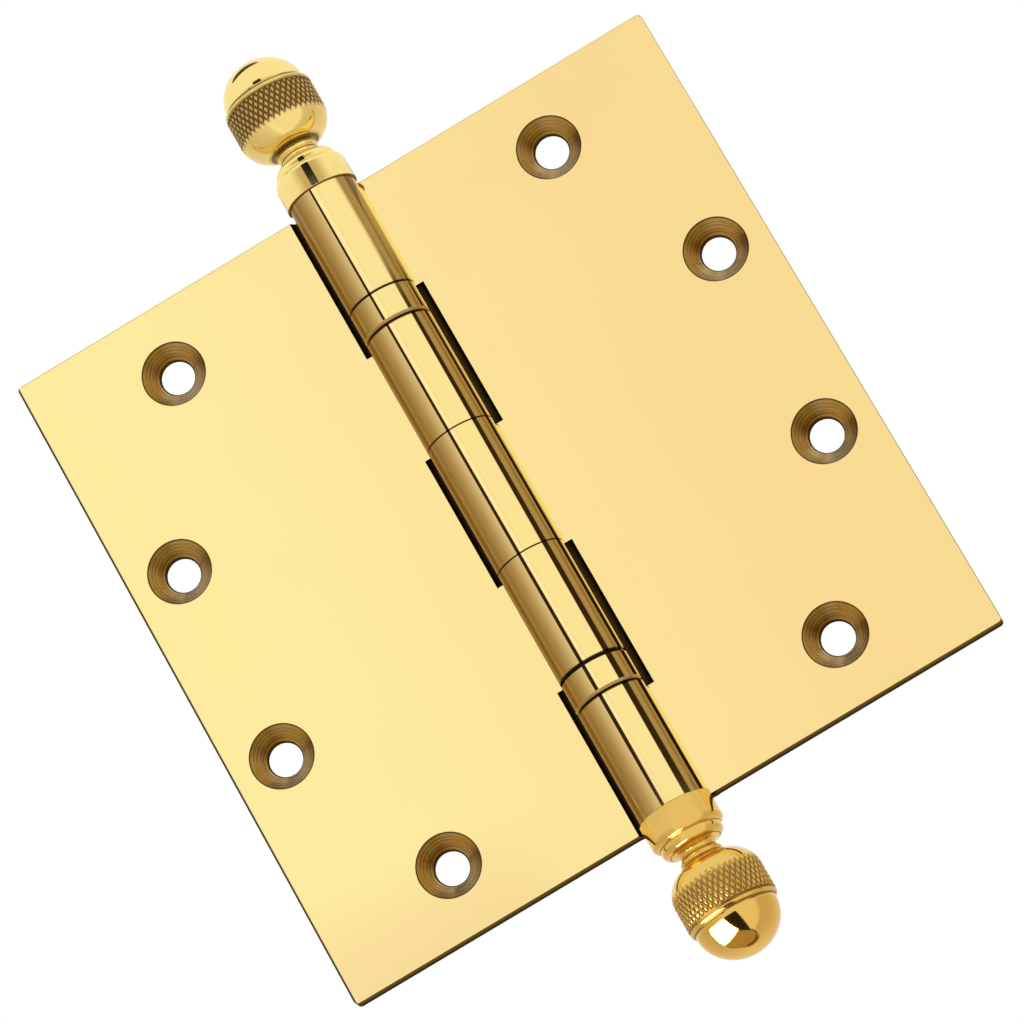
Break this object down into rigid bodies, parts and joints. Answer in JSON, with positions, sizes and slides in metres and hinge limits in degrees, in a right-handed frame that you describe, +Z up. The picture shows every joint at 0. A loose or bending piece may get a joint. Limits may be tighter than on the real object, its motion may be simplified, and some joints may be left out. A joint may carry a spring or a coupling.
{
  "type": "ball bearing hinge",
  "caption": "Square-corner butt hinge with a knuckled barrel, ball thrust bearings between knuckles, countersunk leaves and turned acorn finials on the pin; it hangs and swings a door.",
  "frame": {"origin": "on the pin axis at mid-height, which is the middle of the whole hinge opened flat", "axes": "+Z up the pin, +X towards the jamb leaf, +Y out of the flat backs, so the countersunk faces look to -Y"},
  "size_m": [0.127, 0.0166, 0.1836],
  "materials": {
    "polished_brass": "mirror polished and lacquered",
    "turned_brass": "turned, knurled and polished",
    "pin_steel": "ground",
    "race_steel": "hardened and ground",
    "ball_steel": "polished",
    "cage_brass": "stamped"
  },
  "bodies": {
    "jamb": {"jamb_leaf": "polished_brass", "hinge_pin": "pin_steel", "upper_finial": "turned_brass", "lower_finial": "turned_brass", "upper_cover_race": "race_steel", "lower_bearing_cup": "polished_brass", "lower_cup_race": "race_steel"},
    "door": {"door_leaf": "polished_brass", "upper_bearing_cup": "polished_brass", "upper_cup_race": "race_steel", "lower_cover_race": "race_steel"},
    "upper_cage": {"upper_ball_cage": "cage_brass", "upper_ball_1": "ball_steel", "upper_ball_2": "ball_steel", "upper_ball_3": "ball_steel", "upper_ball_4": "ball_steel", "upper_ball_5": "ball_steel", "upper_ball_6": "ball_steel", "upper_ball_7": "ball_steel", "upper_ball_8": "ball_steel"},
    "lower_cage": {"lower_ball_cage": "cage_brass", "lower_ball_1": "ball_steel", "lower_ball_2": "ball_steel", "lower_ball_3": "ball_steel", "lower_ball_4": "ball_steel", "lower_ball_5": "ball_steel", "lower_ball_6": "ball_steel", "lower_ball_7": "ball_steel", "lower_ball_8": "ball_steel"}
  },
  "joints": [
    {"name": "leaf_swing", "type": "hinge", "parent": "jamb", "child": "door", "pos_m": [0, 0, 0], "axis": [0, 0, 1], "range_deg": [-80, 180]},
    {"name": "upper_cage_turn", "type": "hinge", "parent": "jamb", "child": "upper_cage", "pos_m": [0, 0, 0.0381], "axis": [0, 0, 1], "range_deg": [-40, 90]},
    {"name": "lower_cage_turn", "type": "hinge", "parent": "jamb", "child": "lower_cage", "pos_m": [0, 0, -0.0381], "axis": [0, 0, 1], "range_deg": [-40, 90]}
  ],
  "couplings": [
    {"joint": "upper_cage_turn", "follows": "leaf_swing", "ratio": 0.5},
    {"joint": "lower_cage_turn", "follows": "leaf_swing", "ratio": 0.5}
  ]
}
